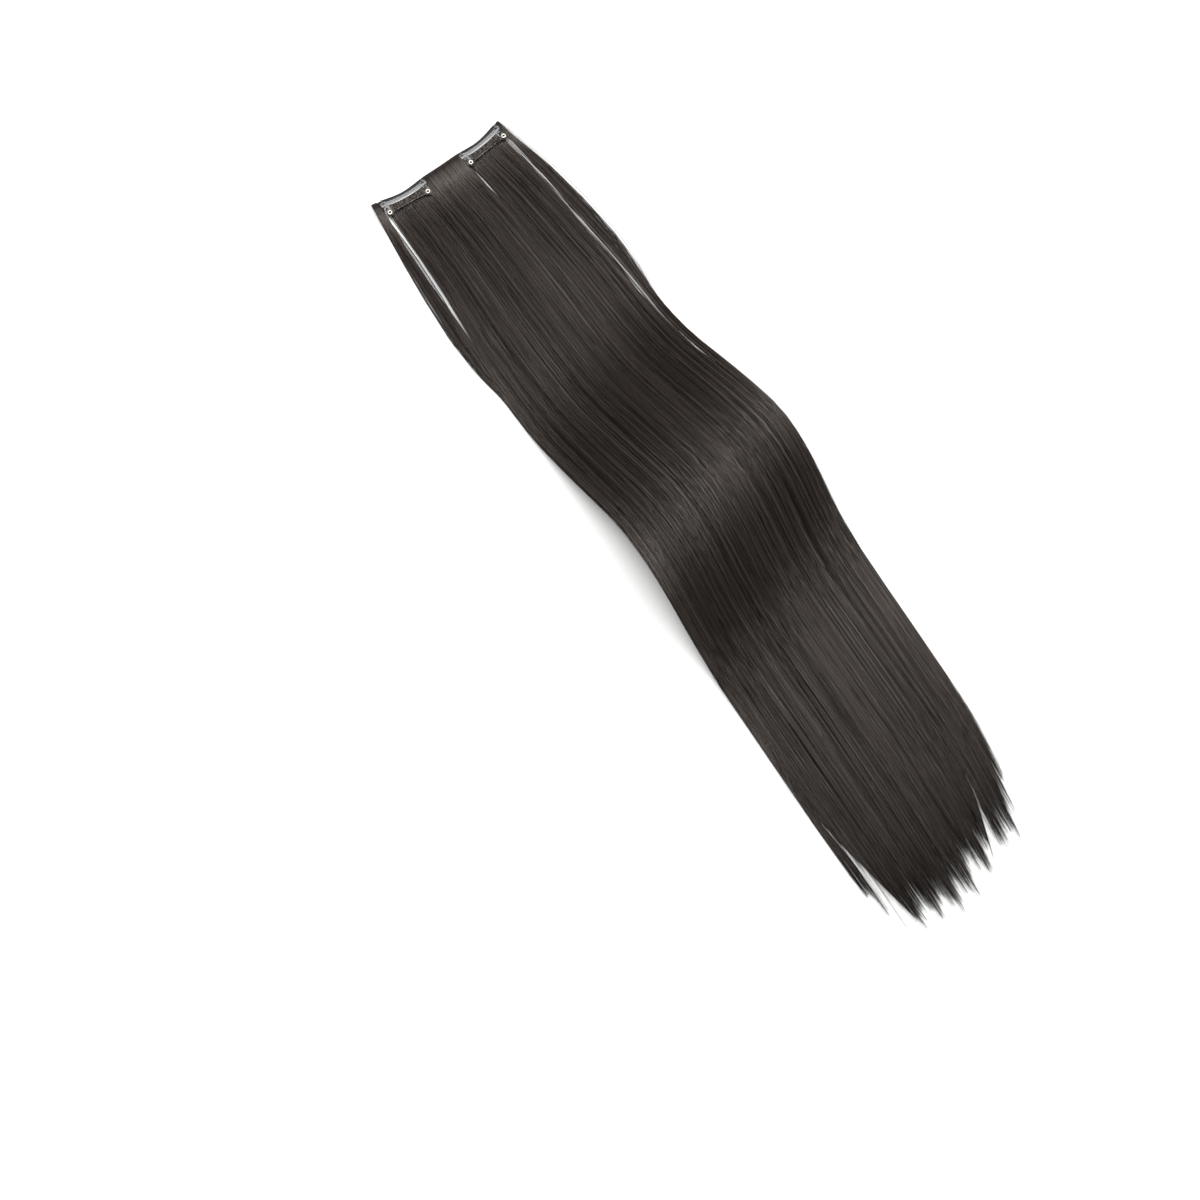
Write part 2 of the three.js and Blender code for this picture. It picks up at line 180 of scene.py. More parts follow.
hair_length = 550.0
hair_half_width = 57.0
hair_thickness = 4.6
track_bend, track_bend_middle = 320.0, -8.0
clip_centres = (-27.5, 30.7)
clip_dip, clip_dip_reach = 1.85, 19.8
edge_power, edge_fullness, edge_least = 5, 1.06, 0.12
wave_height, wave_start, wave_crest, wave_end = 24.0, 150.0, 275.0, 364.0
wave_slant = math.tan(math.radians(15.5))

# share of the length, middle and half width as shares of hair_half_width
outline = np.array([
    (0.00, 0.00, 0.84), (0.06, 0.04, 0.87), (0.14, 0.05, 0.93), (0.21, 0.05, 1.00),
    (0.33, 0.05, 1.00), (0.40, 0.12, 1.02), (0.47, 0.20, 1.03), (0.53, 0.18, 1.03),
    (0.60, 0.11, 1.01), (0.67, 0.07, 1.00), (0.84, -0.01, 0.99), (1.00, -0.16, 0.88),
])
# share of the length, depth as a share of hair_thickness
depths = np.array([(0.00, 0.27), (0.032, 0.29), (0.07, 0.80), (0.13, 1.00), (0.72, 1.00),
                   (0.90, 0.75), (1.00, 0.45)])


def smooth_step(value):
    t = np.clip(value, 0, 1)
    return t * t * (3 - 2 * t)


def column(table, at, number):
    """A table's column at a share of the length, rounded where its rows meet."""
    steps = (-0.02, -0.01, 0, 0.01, 0.02)
    return sum(np.interp(at + step, table[:, 0], table[:, number]) for step in steps) / len(steps)


def top_edge(x):
    """How far the top edge lies above its own middle: a long arc that dips under each clip."""
    x = np.clip(x, -track_half, track_half)
    arc = track_bend - np.sqrt(track_bend ** 2 - (x - track_bend_middle) ** 2)
    for centre in clip_centres:
        t = np.minimum(np.abs(x - centre) / clip_dip_reach, 1)
        arc = arc - clip_dip * 0.5 * (1 + np.cos(np.pi * t))
    return arc


def wave_lift(x, along):
    """Height of the wave, whose crest runs slantwise over the hair."""
    place = along + x * wave_slant
    rise = smooth_step((place - wave_start) / (wave_crest - wave_start))
    fall = smooth_step((place - wave_crest) / (wave_end - wave_crest))
    return wave_height * rise * (1 - fall)


def hair_place(across, along, depth):
    """Point in the row frame, in metres, for a place across, a distance from the top
    edge and a share of the thickness."""
    at = along / hair_length
    x = hair_half_width * (column(outline, at, 1) + across * column(outline, at, 2))
    y = top_edge(x) * (1 - smooth_step(along / wave_start)) - along
    round_off = np.sqrt(np.clip(edge_fullness - np.abs(across) ** edge_power, edge_least, 1))
    thick = hair_thickness * np.interp(at, depths[:, 0], depths[:, 1]) * round_off
    z = wave_lift(x, along) + thick * depth
    return np.stack((x + middle_x, y + edge_y, z), axis=-1) * MM


# Hair body
# The mass of hair under the top strands: a thin sheet of close-packed locks, with fine
# ridges along its length. It is narrower and shorter than the strands that cover it.

random = np.random.default_rng(22)
body_columns, body_rows = 120, 150
body_start, body_end_gap = 7.6, 42.0
body_under, body_over = 0.12, 0.78
lock_count = 16
lock_reach = np.array((0.940, 0.975, 0.985, 0.970, 0.990, 0.978, 1.000, 0.975,
                       0.992, 0.968, 0.980, 0.962, 0.975, 0.960, 0.968, 0.925))


def hair_colour(tree, tone):
    """Dark brown hair colour from a tone of 0 to 1: near-black brown to soft ash brown."""
    ramp = add_node(tree, "ShaderNodeValToRGB", {"Fac": tone})
    ramp.color_ramp.elements[0].color = linear("#110d0b")
    ramp.color_ramp.elements[1].color = linear("#302824")
    return ramp.outputs["Color"]


def streaks(tree, scale, detail, roughness):
    """Noise drawn out along the hair. Scale is in cells a metre along X, Y and Z."""
    stretch = add_node(tree, "ShaderNodeMapping", {"Vector": object_place(tree)}, Scale=scale)
    noise = add_node(tree, "ShaderNodeTexNoise", {"Vector": stretch.outputs["Vector"]},
                     Scale=1.0, Detail=detail, Roughness=roughness)
    return noise.outputs["Fac"]


# Packed hair: dark brown, brushed along the weft in streaks about half a millimetre wide
hair_shine = linear("#fff3ea")
packed_hair, packed_tree, packed_shader = new_material("packed_dark_hair", Roughness=0.5, IOR=1.55,
                                                       Specular_IOR_Level=0.3, Specular_Tint=hair_shine)
packed_streaks = streaks(packed_tree, (2200, 14, 90), 4, 0.6)
packed_tree.links.new(hair_colour(packed_tree, packed_streaks), packed_shader.inputs["Base Color"])
add_bump(packed_tree, packed_shader, packed_streaks, 0.6, 0.0004)

# partings where the floor shows through: their middle and half width at some distances
# along the hair, and how softly the strands beside them give way, in mm
left_slit = {"along": (8, 46, 118), "x": (-42.6, -45.4, -49.0), "half": (0.9, 2.3, 0), "soft": 2.4}
clip_slit = {"along": (12, 26, 44), "x": (18.2, 18.7, 19.2), "half": (0, 0.9, 0), "soft": 1.5}
right_slit = {"along": (4, 40, 120, 200, 250), "x": (47.4, 51.0, 52.6, 57.0, 62.5),
              "half": (0.2, 0.9, 0.9, 0.7, 0), "soft": 1.6}
end_slit = {"along": (435, 482, 516, 550), "x": (-55.6, -51.7, -47.5, -43.5),
            "half": (0, 0.9, 2.0, 3.6), "soft": 5.0}
right_end_slit = {"along": (470, 502, 525, 545), "x": (36.0, 27.0, 18.5, 11.0),
                  "half": (0, 0.7, 1.3, 2.2), "soft": 3.0}
slits = (left_slit, clip_slit, right_slit, end_slit, right_end_slit)
stray_every = 19


def slit_push(x, along):
    """Sideways shift, in mm, that keeps strands on their own side of the partings, but for
    one in stray_every, which strays across."""
    shift = np.zeros_like(x)
    for slit in slits:
        away = x - np.interp(along, slit["along"], slit["x"])
        beside = (along > slit["along"][0]) & (along < slit["along"][-1])
        side = np.where((away * beside).sum(axis=1, keepdims=True) < 0, -1, 1)
        width = np.interp(along, slit["along"], slit["half"])
        held = np.where(width > 0, np.maximum(-side * away, 0), 0)
        tied = (np.arange(len(x)) % stray_every > 0)[:, None]
        shift += tied * side * (held + width * np.exp(-np.maximum(side * away, 0) / slit["soft"]))
    return shift


lock_bulge = random.uniform(0.9, 1.06, lock_count + 1)
fine_bulge = random.uniform(-0.05, 0.05, body_columns + 1)
# distance along the hair and how far the body stays inside the outline there
body_left_inset = np.array(((0, 6.5), (46, 7.0), (112, 5.0), (180, 2.0), (400, 1.5), (440, 3.0),
                            (480, 9.5), (560, 18.0)))
body_right_inset = np.array(((0, 3.5), (60, 5.5), (150, 6.5), (235, 3.5), (400, 1.5), (470, 4.0),
                             (560, 12.0)))
body_bm = bmesh.new()
bmesh.ops.create_grid(body_bm, x_segments=body_columns, y_segments=body_rows, size=1)
lock_centres = (2 * np.arange(lock_count) + 1) / lock_count - 1


def body_place(point):
    """Place across and distance along of a point of the body's flat pattern."""
    reach = np.interp(point.x, np.linspace(-0.94, 0.94, lock_count), lock_reach) * hair_length - body_end_gap
    along = body_start + (reach - body_start) * (1 - point.y) / 2
    half = hair_half_width * float(column(outline, along / hair_length, 2))
    left = -1 + np.interp(along, body_left_inset[:, 0], body_left_inset[:, 1]) / half
    right = 1 - np.interp(along, body_right_inset[:, 0], body_right_inset[:, 1]) / half
    across = (left + right) / 2 + point.x * (right - left) / 2
    return across, along


def bulge_at(across):
    """How full the lock at a place across is."""
    return np.interp((across + 1) / 2 * lock_count, np.arange(lock_count + 1), lock_bulge)


def over_clip_slit(face):
    """Whether a face of the pattern lies over the parting under the right clip."""
    across, along = body_place(face.calc_center_median())
    at = along / hair_length
    x = hair_half_width * float(column(outline, at, 1) + across * column(outline, at, 2))
    middle = np.interp(along, clip_slit["along"], clip_slit["x"])
    half_opening = 1.0
    return abs(x - middle) < half_opening and clip_slit["along"][0] + 2 < along < clip_slit["along"][2] - 3


def thicken(bm):
    """Closes a flat pattern at height 0 into a slab whose upper side is at height 1."""
    raised = bmesh.ops.extrude_face_region(bm, geom=bm.faces[:], use_keep_orig=True)
    for vert in [v for v in raised["geom"] if isinstance(v, bmesh.types.BMVert)]:
        vert.co.z = 1
    bmesh.ops.recalc_face_normals(bm, faces=bm.faces[:])


opened = [f for f in body_bm.faces if over_clip_slit(f)]
bmesh.ops.delete(body_bm, geom=opened, context="FACES")
thicken(body_bm)
for vert in body_bm.verts:
    across, along = body_place(vert.co)
    ridge = fine_bulge[round((vert.co.x + 1) / 2 * body_columns)]
    depth = body_over * bulge_at(across) + ridge if vert.co.z > 0.5 else body_under
    vert.co = Vector(hair_place(across, along, depth))
hair_body = piece_of_mesh(mesh_from(body_bm, "hair_body"), "hair_body", packed_hair, "weft")
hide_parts("hair_curtain")

# Hair strands
# Straight human-type fibre, 3,600 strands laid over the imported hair. Real fibre is
# 0.08 mm thick; these are about four times that, so that they show.


def fibre_mesh(name, paths, radii, tones):
    """Joined closed fibres of three sides. Paths are points in metres, fibre by fibre."""
    count, rings = paths.shape[:2]
    run = np.gradient(paths, axis=1)
    run /= np.linalg.norm(run, axis=2, keepdims=True) + 1e-12
    side = np.cross(run, (0.0, 0.0, 1.0))
    side /= np.linalg.norm(side, axis=2, keepdims=True) + 1e-12
    up = np.cross(side, run)
    angles = np.radians((90, 210, 330))[None, None, :, None]
    around = np.cos(angles) * side[:, :, None, :] + np.sin(angles) * up[:, :, None, :]
    points = paths[:, :, None, :] + radii[:, :, None, None] * around
    first = (np.arange(count * rings) * 3).reshape(count, rings)
    near, far = first[:, :-1, None], first[:, 1:, None]
    here, there = np.arange(3), np.array((1, 2, 0))
    quads = np.stack((near + here, far + here, far + there, near + there), axis=-1).reshape(-1, 4)
    roots = (first[:, :1] + here).reshape(-1, 3)
    tips = (first[:, -1:] + here[::-1]).reshape(-1, 3)
    corners = np.concatenate((quads.ravel(), roots.ravel(), tips.ravel()))
    sizes = np.concatenate((np.full(len(quads), 4), np.full(2 * count, 3)))
    mesh = bpy.data.meshes.new(name)
    mesh.vertices.add(count * rings * 3)
    mesh.vertices.foreach_set("co", points.ravel())
    mesh.loops.add(len(corners))
    mesh.loops.foreach_set("vertex_index", corners)
    mesh.polygons.add(len(sizes))
    mesh.polygons.foreach_set("loop_start", np.concatenate(((0,), np.cumsum(sizes)[:-1])))
    mesh.update(calc_edges=True)
    tone = mesh.attributes.new("tone", "FLOAT", "POINT")
    tone.data.foreach_set("value", np.repeat(tones, rings * 3))
    return mesh


strand_radius, strand_start, strand_taper = 0.17, -0.3, (1, 1, 0.62, 0.25)
ring_places = np.array((0, 3, 6.5, 9, 12, 18, 30, 50, 80, 115, 145, 162, 176, 190, 205, 220, 236, 252, 268,
                        284, 298, 310, 322, 336, 350, 368, 395, 430, 465, 498, 518, 530, 540)) / 540

# Hair fibre: near-black brown with a soft shine, each strand a little lighter or darker
fibre, fibre_tree, fibre_shader = new_material("dark_hair_fibre", IOR=1.55, Specular_Tint=hair_shine)
fibre_tone = add_node(fibre_tree, "ShaderNodeAttribute", attribute_name="tone").outputs["Fac"]
fibre_tree.links.new(hair_colour(fibre_tree, fibre_tone), fibre_shader.inputs["Base Color"])
for socket, least, most in (("Roughness", 0.27, 0.42), ("Specular IOR Level", 0.1, 0.88)):
    fibre_range = add_node(fibre_tree, "ShaderNodeMapRange", {"Value": fibre_tone}, To_Min=least, To_Max=most)
    fibre_tree.links.new(fibre_range.outputs["Result"], fibre_shader.inputs[socket])

clump_count = 76
bow_end = 150.0
clump_centres = (np.arange(clump_count) + random.uniform(0.2, 0.8, clump_count)) / clump_count * 2 - 1
clump_wander = random.uniform(-1, 1, (clump_count, 4))
clump_reach = random.uniform(-9, 3, clump_count)
clump_from, lock_from, lock_pull = 0.80, 0.92, 0.15
sway, waver_height = 0.005, 0.07
clip_half_width, root_top, root_drop = 16.5, 2.84, 0.8
settle_from, settle_run, settle_beside_clip = 5.5, 6.0, 13.0


def nearest_clump(across):
    """Number of the clump that each place across gathers into."""
    return np.abs(across[:, None] - clump_centres).argmin(axis=1)


def strand_paths(across, reach_share, depth, pull, wander, bow):
    """Paths of strands that grow from the track at places across and thin into clumps."""
    count = len(across)
    clump = nearest_clump(across)
    lock = np.clip(((across + 1) / 2 * lock_count).astype(int), 0, lock_count - 1)
    reach = np.interp(across, lock_centres, lock_reach) * hair_length * reach_share + clump_reach[clump]
    along = strand_start + (reach - strand_start)[:, None] * ring_places
    share = ring_places[None, :]
    clump_turn = smooth_step((share - clump_from) / (1 - clump_from))
    lock_turn = smooth_step((share - lock_from) / (1 - lock_from))
    to_clump = (clump_centres[clump] - across)[:, None] * pull * clump_turn
    to_lock = (lock_centres[lock] - across)[:, None] * lock_pull * lock_turn
    phase = random.uniform(0, 2 * np.pi, (count, 2))
    own = (np.sin(share * 5.0 + phase[:, :1]) + 0.5 * np.sin(share * 13.0 + phase[:, 1:])) * wander[:, None]
    shared = clump_wander[clump]
    together = sway * (shared[:, :1] * np.sin(share * 6 + 6 * shared[:, 1:2])
                       + shared[:, 2:3] * np.sin(share * 11 + 6 * shared[:, 3:4]))
    grown = smooth_step(share / 0.12)
    place = across[:, None] + to_clump + to_lock + (own + together) * grown
    waver = waver_height * np.sin(share * 9 + phase[:, 1:]) * grown
    paths = hair_place(place, along, (depth * bulge_at(across))[:, None] + waver)
    x = paths[..., 0] / MM - middle_x
    x += bow[:, None] * np.sin(np.pi * np.clip(along / bow_end, 0, 1)) ** 0.8
    x += slit_push(x, along)
    paths[..., 0] = (x + middle_x) * MM
    under_clip = sum(smooth_step((clip_half_width - np.abs(x - centre)) / 3) for centre in clip_centres)
    settle = settle_run + settle_beside_clip * (1 - under_clip)
    over_track = 1 - smooth_step((along - settle_from) / settle)
    root_sink = root_drop * smooth_step(1 - (along - strand_start) / 2.5)
    root_level = root_top + random.uniform(-0.16, 0.14, (count, 1)) - root_sink
    paths[..., 2] += (root_level * MM - paths[..., 2]) * over_track
    return paths


def strand_radii(count, thick):
    """Radii ring by ring, each strand a little thicker or thinner than the next."""
    taper = np.interp(ring_places, (0, 0.78, 0.92, 1), strand_taper)
    own = random.uniform(0.8, 1.2, (count, 1))
    return thick * own * taper[None, :] * MM


def add_strands(name, across, shortest, depth, pull, wander, bow=0.0, thick=strand_radius):
    """One piece of joined strands, the shortest of them a share of their lock's length."""
    count = len(across)
    reach_share = 1 - (1 - shortest) * random.beta(1.1, 2.2, count)
    tones = np.clip(random.normal(0.5, 0.27, count), 0, 1)
    paths = strand_paths(across, reach_share, depth, pull, wander, np.broadcast_to(bow, (count,)))
    mesh = fibre_mesh(name, paths, strand_radii(count, thick), tones)
    piece = piece_of_mesh(mesh, name, fibre, "weft")
    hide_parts("hair_curtain")


batch = 900
for number in range(4):
    spread = (np.arange(batch) + random.uniform(0, 1, batch)) / batch
    level = 0.78 + 0.09 * number
    add_strands(f"hair_strands_{number + 1}", spread * 1.935 - 0.985, 0.925,
                random.uniform(level, level + 0.10, batch), 0.4, np.full(batch, 0.004))

# Hair tips
# Short lengths of strand that fill the last tenth of the hair, where it is cut with
# thinning shears: full down to ragged points a few millimetres wide.

tip_count, tip_steps = 2100, np.linspace(0, 1, 9)
tip_across = random.uniform(-0.975, 0.975, tip_count)
tip_lock = np.interp(tip_across, lock_centres, lock_reach) * hair_length
tip_near = nearest_clump(tip_across)
tip_gather, tip_spread = 0.3, 0.016
tip_end = (tip_lock + clump_reach[tip_near]) * (1 - 0.075 * random.beta(1.0, 1.6, tip_count))
tip_from = tip_end - random.uniform(50, 90, tip_count)
tip_along = tip_from[:, None] + (tip_end - tip_from)[:, None] * tip_steps
tip_pull = smooth_step((tip_along - (tip_end[:, None] - 34)) / 36)
tip_place = tip_across[:, None] + (clump_centres[tip_near] - tip_across)[:, None] * tip_gather * tip_pull
tip_place += tip_spread * random.normal(0, 1, tip_count)[:, None] * tip_steps
tip_paths = hair_place(tip_place, tip_along, random.uniform(0.35, 0.95, (tip_count, 1)) + 0.1 * tip_steps)
tip_x = tip_paths[..., 0] / MM - middle_x
tip_paths[..., 0] += slit_push(tip_x, tip_along) * MM
tip_taper = np.interp(tip_steps, (0, 0.5, 1), (1, 0.75, 0.3))
tip_radii = strand_radius * MM * random.uniform(0.55, 0.9, (tip_count, 1)) * tip_taper
tip_mesh = fibre_mesh("hair_tips", tip_paths, tip_radii, np.clip(random.normal(0.5, 0.2, tip_count), 0, 1))
hair_tips = piece_of_mesh(tip_mesh, "hair_tips", fibre, "weft")
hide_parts("hair_curtain")

# Edge wisps
# Sparse fibres outside the body of the hair, where the white floor shows between them,
# and a few stray fibres that lie across the rest.

wisp_count, wisp_radius = 320, 0.13
half_of_wisps = wisp_count // 2
wisp_across = np.concatenate((-1.0 + 0.07 * random.beta(1.0, 1.4, half_of_wisps),
                              1.02 - 0.09 * random.beta(1.3, 1.1, half_of_wisps)))
wisp_bow = np.concatenate((-7.0 * random.beta(1.0, 1.3, half_of_wisps),
                           8.0 * random.beta(1.0, 1.3, half_of_wisps)))
add_strands("edge_wisps", wisp_across, 0.8, random.uniform(0.3, 1.0, wisp_count), 0.3,
            random.uniform(0.002, 0.009, wisp_count), wisp_bow, wisp_radius)
stray_count = 90
add_strands("stray_hairs", random.uniform(-0.97, 0.97, stray_count), 0.8,
            random.uniform(1.15, 1.4, stray_count), 0.1, random.uniform(0.01, 0.03, stray_count))

# Weft track
# The hair's roots are machine-sewn into a flat band 7 mm high. Two rows of dark lock
# stitches hold them; the band follows the bend of the top edge.

# Sewn roots: the hair packed tight under thread, so darker, ribbed down the band
roots, roots_tree, roots_shader = new_material("sewn_hair_roots", Roughness=0.6)
roots_ribs = streaks(roots_tree, (2600, 60, 200), 3, 0.5)
roots_tree.links.new(hair_colour(roots_tree, roots_ribs), roots_shader.inputs["Base Color"])
add_bump(roots_tree, roots_shader, roots_ribs, 0.7, 0.0003)
track_columns, track_rows, track_top = 192, 8, 2.7
pad_reach, pad_least = 0.13, 0.12
track_bm = bmesh.new()
bmesh.ops.create_grid(track_bm, x_segments=track_columns, y_segments=track_rows, size=1)
thicken(track_bm)
rib = random.uniform(-0.08, 0.08, track_columns + 1)
for vert in track_bm.verts:
    across, down, level = vert.co.x, (1 - vert.co.y) / 2, vert.co.z
    edge = min(down, 1 - down, 0.5 * (1 - abs(across)) * track_half / track_height)
    pad = min(1, math.sqrt(max(edge, 0) / pad_reach + pad_least))
    x = across * track_half
    half = track_top / 2
    z = half + (level * 2 - 1) * (half - 0.05) * pad + 0.02
    ripple = rib[round((across + 1) / 2 * track_columns)] * (1 if level > 0.5 else 0)
    vert.co = Vector((x + middle_x, float(top_edge(x)) - down * track_height + edge_y, z + ripple)) * MM
track_band = piece_of_mesh(mesh_from(track_bm, "track_band"), "track_band", roots, "weft")
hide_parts("weft_track")

# Spun polyester thread: matt, dark, finely twisted
thread, thread_tree, thread_shader = new_material("dark_polyester_thread", Base_Color=linear("#211c1a"),
                                                  Roughness=0.7)
thread_twist = add_node(thread_tree, "ShaderNodeTexWave", {"Vector": object_place(thread_tree)},
                        bands_direction="DIAGONAL", Scale=900, Distortion=1.0)
add_bump(thread_tree, thread_shader, thread_twist.outputs["Fac"], 0.4, 0.0001)
stitch_pitch, stitch_length, stitch_radius = 2.1, 1.7, 0.11
stitch_x = np.arange(-track_half + 1.5, track_half - 1.5, stitch_pitch)
stitch_steps = np.linspace(0, 1, 7)
stitch_rows, stitch_faces, stitch_sink = (1.9, 5.0), ((1, 2.98), (-1, 0.13)), 0.45
stitch_paths = []
for drop in stitch_rows:
    for face, level in stitch_faces:
        at_x = stitch_x[:, None] + (stitch_steps - 0.5) * stitch_length
        sink = stitch_sink * (2 * stitch_steps - 1) ** 4
        at_y = top_edge(at_x) - drop - 0.25 * (stitch_steps - 0.5)
        at_z = np.broadcast_to(level - face * sink, at_x.shape)
        stitch_paths.append(np.stack((at_x + middle_x, at_y + edge_y, at_z), axis=-1) * MM)
stitch_paths = np.concatenate(stitch_paths)
stitch_mesh = fibre_mesh("track_stitches", stitch_paths,
                         np.full(stitch_paths.shape[:2], stitch_radius * MM), np.full(len(stitch_paths), 0.5))
piece_of_mesh(stitch_mesh, "track_stitches", thread, "weft")

# Snap clips
# Two stamped spring-steel snap clips with black enamelled plates, sewn to the track
# through the holes in their corners. Plates and ears are the frame's own solids with
# eased edges; the combs' wire loops and the rolled eyelets are drawn in full.


def eased_copy(node, name, material, body, ease, shape=None):
    """The frame's own solid with its flat faces joined and its edges rounded by ease, in mm."""
    bm = bmesh.new()
    bm.from_mesh(frame["nodes"][node].data)
    bmesh.ops.remove_doubles(bm, verts=bm.verts[:], dist=2e-6)
    bmesh.ops.dissolve_limit(bm, angle_limit=math.radians(1), verts=bm.verts[:], edges=bm.edges[:])
    rims = [e for e in bm.edges if e.is_manifold and e.calc_face_angle() > math.radians(60)
            and any(abs(f.normal.z) > 0.9 for f in e.link_faces)]
    bmesh.ops.bevel(bm, geom=rims, offset=ease * MM, offset_type="OFFSET", segments=2, profile=0.5,
                    affect="EDGES", material=-1, clamp_overlap=True)
    if shape:
        shape(bm)
    piece = piece_of_mesh(mesh_from(bm, name), name, material, body)
    piece.data.set_sharp_from_angle(angle=math.radians(25))
    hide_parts(node)
    return piece


# Black stoved enamel on steel: deep gloss, faint orange peel
enamel, enamel_tree, enamel_shader = new_material("black_stoved_enamel", Base_Color=linear("#151414"),
                                                  Roughness=0.2, IOR=1.6, Specular_IOR_Level=1.0,
                                                  Coat_Weight=1.0, Coat_Roughness=0.07)
enamel_peel = add_node(enamel_tree, "ShaderNodeTexNoise", {"Vector": object_place(enamel_tree)},
                       Scale=900, Detail=1)
add_bump(enamel_tree, enamel_shader, enamel_peel.outputs["Fac"], 0.12, 0.0002)

# Coated spring steel: the same black, thinner, worn to grey in scattered patches
spring, spring_tree, spring_shader = new_material("black_coated_spring_steel", Roughness=0.28, Metallic=0.9)
spring_wear = add_node(spring_tree, "ShaderNodeTexNoise", {"Vector": object_place(spring_tree)},
                       Scale=700, Detail=3)
spring_ramp = add_node(spring_tree, "ShaderNodeValToRGB", {"Fac": spring_wear.outputs["Fac"]})
spring_ramp.color_ramp.elements[0].position = 0.45
spring_ramp.color_ramp.elements[0].color = linear("#33312f")
spring_ramp.color_ramp.elements[1].position = 0.7
spring_ramp.color_ramp.elements[1].color = linear("#696661")
spring_tree.links.new(spring_ramp.outputs["Color"], spring_shader.inputs["Base Color"])

# Nickel plate: pale, bright and slightly warm, a little scuffed on its roll
nickel, nickel_tree, nickel_shader = new_material("nickel_plated_brass", Base_Color=linear("#d9d2c4"),
                                                  Metallic=1.0)
nickel_scuff = add_node(nickel_tree, "ShaderNodeTexNoise", {"Vector": object_place(nickel_tree)},
                        Scale=1500, Detail=3)
nickel_rough = add_node(nickel_tree, "ShaderNodeMapRange", {"Value": nickel_scuff.outputs["Fac"]},
                        To_Min=0.18, To_Max=0.42)
nickel_tree.links.new(nickel_rough.outputs["Result"], nickel_shader.inputs["Roughness"])

# Sewing thread: painted pale grey all over in twisted bands, a painted glint that stands in for the light the
# thread catches at the holes
sewing, sewing_tree, sewing_shader = new_material("sewing_thread_painted_glint", Roughness=0.6)
sewing_twist = add_node(sewing_tree, "ShaderNodeTexWave", {"Vector": object_place(sewing_tree)},
                        bands_direction="DIAGONAL", Scale=1100, Distortion=0.6)
# The ramp's pale greys are painted glint, laid over the thread's twist
sewing_glint_ramp = add_node(sewing_tree, "ShaderNodeValToRGB", {"Fac": sewing_twist.outputs["Fac"]})
sewing_glint_ramp.color_ramp.elements[0].color = linear("#6b6763")
sewing_glint_ramp.color_ramp.elements[1].color = linear("#b4b0ab")
sewing_tree.links.new(sewing_glint_ramp.outputs["Color"], sewing_shader.inputs["Base Color"])

rivet_drop, band_bend, band_sagitta, band_height = 10.3, 70.0, 1.85, 4.3
band_centre = rivet_drop + band_bend - band_sagitta
tooth_pitch, tooth_count, tooth_width, tooth_wire, tooth_reach = 3.43, 6, 2.2, 0.5, 4.3
bar_half, bar_height, comb_level = 10.25, 1.3, 4.0
rivet_profile = ((0.55, 2.65), (1.4, 2.65), (1.4, 3.0), (0.9, 3.0), (0.9, 4.7), (1.45, 4.7), (1.56, 4.74),
                 (1.6, 4.84), (1.58, 4.98), (1.47, 5.09), (1.3, 5.15), (0.95, 5.15), (0.72, 5.08),
                 (0.58, 4.94), (0.55, 4.78))


def band_edge(x, below):
    """The clip's own y of the band's upper long edge, or of a line that far below it."""
    return band_centre - math.sqrt((band_bend + below) ** 2 - x * x)


def dome_band(bm, place, turn, rise=0.42):
    """Presses the flat band of a plate into a shallow arch, low at its two long edges."""
    to_clip = (Matrix.Rotation(-turn, 4, "Z") @ Matrix.Translation((-place.x, -place.y, 0)))
    bmesh.ops.transform(bm, matrix=to_clip, verts=bm.verts[:])
    cuts = [("Y", y) for y in np.arange(5.0, 10.4, 0.45)] + [("X", x) for x in np.arange(-14, 14.1, 2.0)]
    for axis, at in cuts:
        point = (0, at * MM, 0) if axis == "Y" else (at * MM, 0, 0)
        normal = (0, 1, 0) if axis == "Y" else (1, 0, 0)
        bmesh.ops.bisect_plane(bm, geom=bm.verts[:] + bm.edges[:] + bm.faces[:], plane_co=point,
                               plane_no=normal, dist=1e-7)
    for vert in bm.verts:
        x, y = vert.co.x / MM, vert.co.y / MM
        below = math.hypot(x, band_centre - y) - band_bend
        share = min(max(below / band_height, 0), 1)
        vert.co.z -= rise * MM * (2 * share - 1) ** 2 * (1 - min(max(below - band_height, 0), 1)) * 0.5
        vert.co.z += 0.02 * MM
    bmesh.ops.transform(bm, matrix=to_clip.inverted(), verts=bm.verts[:])


def place_on_clip(bm, place, turn):
    """Moves a shape from the clip's own millimetres to the frame."""
    bmesh.ops.scale(bm, vec=(MM, MM, MM), verts=bm.verts[:])
    bmesh.ops.transform(bm, matrix=Matrix.Translation((place.x, place.y, 0)) @ Matrix.Rotation(turn, 4, "Z"),
                        verts=bm.verts[:])


def tooth_ring(bm, x):
    """One long loop of round wire, made by turning and drawing out a circle."""
    wire = tooth_wire / 2
    loop_radius = tooth_width / 2 - wire
    level = comb_level + wire
    top = band_edge(x, band_height) - 0.4 - tooth_width / 2
    tip = band_edge(x, 0) - band_edge(0, 0) - tooth_reach + tooth_width / 2
    start = (Matrix.Translation((x + loop_radius, tip, level)) @ Matrix.Rotation(math.radians(90), 4, "X"))
    made = bmesh.ops.create_circle(bm, segments=8, radius=wire, matrix=start)
    ring = list({e for v in made["verts"] for e in v.link_edges})
    for middle, straight in ((top, top - tip), (tip, tip - top)):
        out = bmesh.ops.extrude_edge_only(bm, edges=ring)
        moved = [g for g in out["geom"] if isinstance(g, bmesh.types.BMVert)]
        bmesh.ops.translate(bm, vec=(0, straight, 0), verts=moved)
        ring = [g for g in out["geom"] if isinstance(g, bmesh.types.BMEdge)
                and all(v in moved for v in g.verts)]
        out = bmesh.ops.spin(bm, geom=ring, cent=(x, middle, level), axis=(0, 0, 1), angle=math.pi, steps=8)
        ring = [g for g in out["geom_last"] if isinstance(g, bmesh.types.BMEdge)]


